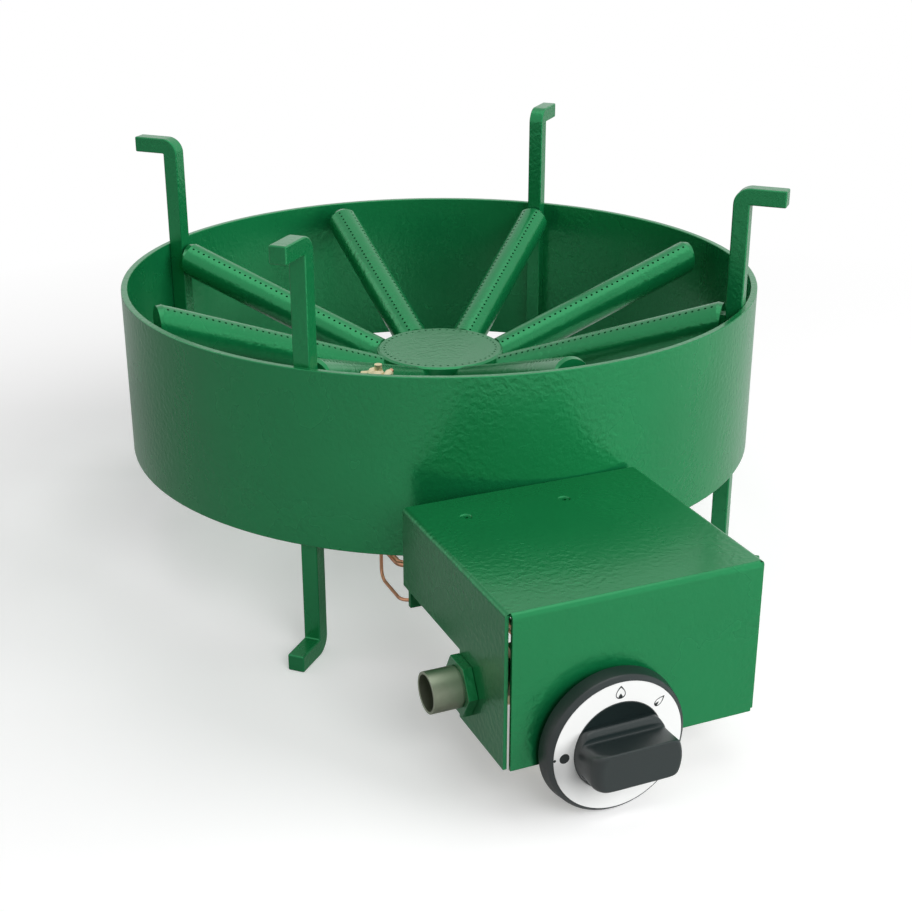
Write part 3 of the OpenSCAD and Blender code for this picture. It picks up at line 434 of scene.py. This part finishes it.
skirtPoints, gripPoints = knobSkirt(), knobGrip()
columns = knobShape["columns"]
knobFaces = np.concatenate([ringFaces(len(skirtPoints), columns),
                            ringFaces(len(gripPoints), columns) + len(skirtPoints) * columns])
knobBody = makePiece("knobBody", np.concatenate([skirtPoints, gripPoints]), knobFaces,
                     "knob_set", "knob_black", closePoles=True)
knobBody.data.set_sharp_from_angle(angle=math.radians(knobShape["sharpAngle"]))
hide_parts("knob")
print("knob made:", len(knobBody.data.polygons), "faces")


# Marks printed on the knob's scale ring, in millimetres: places by angle from the right, in
# degrees, and distance from the middle; a flame is a drop drawn as a line, with a filled core
marks = {
    "lift": 0.02, "thickness": 0.05, "steps": 48,
    "line": 0.68, "lineInside": 2.4, "lineDrop": 0.25,  # width of the line, and shares of it inside
    "bigFlame": {"angle": 90, "radius": 29.2, "height": 7.0, "width": 5.2, "core": 0.4},
    "smallFlame": {"angle": 42.4, "radius": 29.0, "height": 6.8, "width": 3.5, "core": 0.4},
    "dot": {"angle": 180, "radius": 28.7, "size": 2.6},
    "notch": {"angle": 180, "radius": 33.9, "size": 0.75},
}


def onScale(across, up, angle, radius):
    # Flat outline turned so that up points away from the knob's middle
    turn = math.radians(angle - 90)
    x = across * math.cos(turn) - (up + radius) * math.sin(turn)
    z = across * math.sin(turn) + (up + radius) * math.cos(turn)
    y = np.full_like(x, place["axisY"] - place["scaleFront"] - marks["lift"])
    return np.stack([x + place["tapX"], y, z + place["tapZ"]], -1) * mm


markTurns = np.linspace(0, 2 * np.pi, marks["steps"], endpoint=False)


def dropOutline(height, width):
    # Drop with its point up: up = cos t, across = sin t times sin of half t, 0.77 at its widest
    across = np.sin(markTurns) * np.abs(np.sin(markTurns / 2)) / (2 * 0.77) * width
    return across, np.cos(markTurns) * height / 2


def flatMark(name, outlines, angle, radius):
    # One outline gives a filled mark, two give the band between them
    rings = [onScale(across, up, angle, radius) for across, up in outlines]
    count = len(rings[0])
    if len(rings) == 1:
        rings.append(np.repeat(rings[0].mean(0)[None], count, 0))
    piece = makePiece(name, np.concatenate(rings), ringFaces(2, count), "knob_set", "knob_black",
                      ink, smooth=False)
    build = bmesh.new()
    build.from_mesh(piece.data)
    bmesh.ops.remove_doubles(build, verts=build.verts, dist=1e-7)
    build.normal_update()
    if sum(face.normal.y for face in build.faces) > 0:
        bmesh.ops.reverse_faces(build, faces=build.faces)
    build.to_mesh(piece.data)
    build.free()
    body = piece.modifiers.new("printThickness", "SOLIDIFY")
    body.thickness = marks["thickness"] * mm
    body.offset = 1.0


for name in ("bigFlame", "smallFlame"):
    flame = marks[name]
    height, width, line = flame["height"], flame["width"], marks["line"]
    outer = dropOutline(height, width)
    across, up = dropOutline(height - marks["lineInside"] * line, width - line)
    inner = (across, up - marks["lineDrop"] * line)
    flatMark(name + "Line", [outer, inner], flame["angle"], flame["radius"])
    across, up = dropOutline(height * flame["core"], width * flame["core"])
    foot = -0.5 * height * (1 - flame["core"])
    flatMark(name + "Core", [(across, up + foot)], flame["angle"], flame["radius"])
for name in ("dot", "notch"):
    mark = marks[name]
    circle = (mark["size"] * np.sin(markTurns), mark["size"] * np.cos(markTurns))
    flatMark(name + "Mark", [circle], mark["angle"], mark["radius"])
print("marks made")


# Return spring of the push pin, in millimetres; its ends are places of the wire's middle on Y
springShape = {"radius": 4.2, "wire": 0.8, "turns": 4, "ends": (-179.9, -172.8), "travel": 3.0,
               "steps": 48, "sides": 12}


def coilSpring():
    # A round wire carried along a helix: the ring at turn t has its middle at the coil's radius
    # and turns with t, and the ring at each end is drawn together to a point
    k = springShape
    t = np.linspace(0, k["turns"], k["turns"] * k["steps"] + 1)
    t = np.concatenate([t[:1], t, t[-1:]])[:, None]
    front, back = k["ends"]
    wire = np.full(t.shape, k["wire"] / 2)
    wire[[0, -1]] = 0.0
    b = np.linspace(0, 2 * np.pi, k["sides"], endpoint=False)
    reach = k["radius"] + wire * np.cos(b)
    along = front + (back - front) * t / k["turns"] + wire * np.sin(b)
    turn = 2 * np.pi * t
    return np.stack([place["tapX"] + reach * np.cos(turn), along,
                     place["tapZ"] + reach * np.sin(turn)], -1) * mm


springPoints = coilSpring()
coil = makePiece("returnSpring", springPoints, ringFaces(len(springPoints), springShape["sides"]),
                 "burner", "steel", closePoles=True)
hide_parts("plunger_spring")
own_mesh(coil)
print("spring made:", len(coil.data.polygons), "faces")


# Floor and light: sizes in metres, colours and strengths as shares of white, lamp powers in watts
stageSettings = {
    "floor": 6.0, "floorColour": 0.82, "floorRoughness": 0.9,
    "bounceColour": 0.12,  # the floor as the object's surfaces are lit by it
    "glow": 0.3,           # own light of the floor for the camera alone
    "mirrored": 0.85,      # share of the bright floor and backdrop that a reflection shows
    "fade": (0.3, 0.85),   # the floor's view turns to white between these distances
    "worldStrength": 0.2,
    "aim": (0.0, 0.03, 0.12),
    "lamps": {
        "over": {"place": (0.2, 0.0, 2.4), "size": 2.0, "power": 10, "mirrored": True},
        "key": {"place": (2.1, -1.75, 1.0), "size": 2.0, "power": 88, "mirrored": False},
        "left": {"place": (-1.8, 1.2, 1.2), "size": 1.2, "power": 4, "mirrored": True},
        "front": {"place": (0.0, -2.6, 1.6), "size": 1.6, "power": 40, "mirrored": False},
    },
}


def mathNode(tree, operation, first, second):
    # A Math node whose two inputs are outputs of other nodes or numbers
    node = addNode(tree, "ShaderNodeMath", operation=operation)
    for socket, value in zip(node.inputs, (first, second)):
        if isinstance(value, bpy.types.NodeSocket):
            tree.links.new(value, socket)
        else:
            socket.default_value = value
    return node.outputs[0]


def seenDirectly(tree, path, mirrored):
    # 1 for a camera ray, the mirrored share for a glossy or transmission ray
    sight = path.outputs["Is Camera Ray"]
    for name in ("Is Glossy Ray", "Is Transmission Ray"):
        share = mathNode(tree, "MULTIPLY", path.outputs[name], mirrored)
        sight = mathNode(tree, "MAXIMUM", sight, share)
    return sight


def stageMaterial():
    # Pale floor; light that it throws back on the object comes from a darker grey
    k = stageSettings
    material, tree, shader = newMaterial("paleFloor")
    link = tree.links.new
    shader.inputs["Roughness"].default_value = k["floorRoughness"]
    shader.inputs["Specular IOR Level"].default_value = 0.0
    path = tree.nodes.new("ShaderNodeLightPath")
    sight = path.outputs["Is Camera Ray"]
    tint = addNode(tree, "ShaderNodeMix", data_type="RGBA")
    tint.inputs[6].default_value = (*[k["floorColour"]] * 3, 1)
    tint.inputs[7].default_value = (*[k["bounceColour"]] * 3, 1)
    unseen = mathNode(tree, "SUBTRACT", 1.0, seenDirectly(tree, path, k["mirrored"]))
    link(unseen, tint.inputs["Factor"])
    link(tint.outputs[2], shader.inputs["Base Color"])
    glow = tree.nodes.new("ShaderNodeEmission")
    link(mathNode(tree, "MULTIPLY", sight, k["glow"]), glow.inputs["Strength"])
    both = tree.nodes.new("ShaderNodeAddShader")
    link(shader.outputs["BSDF"], both.inputs[0])
    link(glow.outputs[0], both.inputs[1])
    spot = tree.nodes.new("ShaderNodeTexCoord")
    reach = addNode(tree, "ShaderNodeVectorMath", operation="LENGTH")
    link(spot.outputs["Object"], reach.inputs[0])
    fade = rangeNode(tree, k["fade"], (0.0, 1.0))
    link(reach.outputs["Value"], fade.inputs["Value"])
    white = addNode(tree, "ShaderNodeEmission", Strength=1.0)
    ends = tree.nodes.new("ShaderNodeMixShader")  # only the view fades to the white backdrop
    link(mathNode(tree, "MULTIPLY", fade.outputs["Result"], sight), ends.inputs["Fac"])
    link(both.outputs[0], ends.inputs[1])
    link(white.outputs[0], ends.inputs[2])
    link(ends.outputs[0], tree.nodes["Material Output"].inputs["Surface"])
    return material


size = stageSettings["floor"]
floorMesh = bpy.data.meshes.new("floor")
corners = [(-size, -size, 0), (size, -size, 0), (size, size, 0), (-size, size, 0)]
floorMesh.from_pydata(corners, [], [(0, 1, 2, 3)])
floorMesh.materials.append(stageMaterial())
floor = addObject("floor", floorMesh)

world = bpy.data.worlds.new("studio")
bpy.context.scene.world = world
world.use_nodes = True
worldTree = world.node_tree
backdrop = worldTree.nodes["Background"]
backdrop.inputs["Color"].default_value = (1, 1, 1, 1)
backdrop.inputs["Strength"].default_value = stageSettings["worldStrength"]
whiteBackdrop = addNode(worldTree, "ShaderNodeBackground", Color=(1, 1, 1, 1), Strength=1.0)
worldPath = worldTree.nodes.new("ShaderNodeLightPath")
worldMix = worldTree.nodes.new("ShaderNodeMixShader")
worldSeen = seenDirectly(worldTree, worldPath, stageSettings["mirrored"])
worldTree.links.new(worldSeen, worldMix.inputs["Fac"])
worldTree.links.new(backdrop.outputs[0], worldMix.inputs[1])
worldTree.links.new(whiteBackdrop.outputs[0], worldMix.inputs[2])
worldTree.links.new(worldMix.outputs[0], worldTree.nodes["World Output"].inputs["Surface"])

for name, lamp in stageSettings["lamps"].items():
    data = bpy.data.lights.new(name, "AREA")
    data.shape = "SQUARE"
    data.size = lamp["size"]
    data.energy = lamp["power"]
    light = addObject(name, data)
    light.location = lamp["place"]
    light.visible_glossy = lamp["mirrored"]
    way = np.array(lamp["place"]) - stageSettings["aim"]
    tilt = math.acos(way[2] / np.linalg.norm(way))
    light.rotation_euler = (tilt, 0, math.atan2(way[1], way[0]) + math.pi / 2)
print("stage lit")
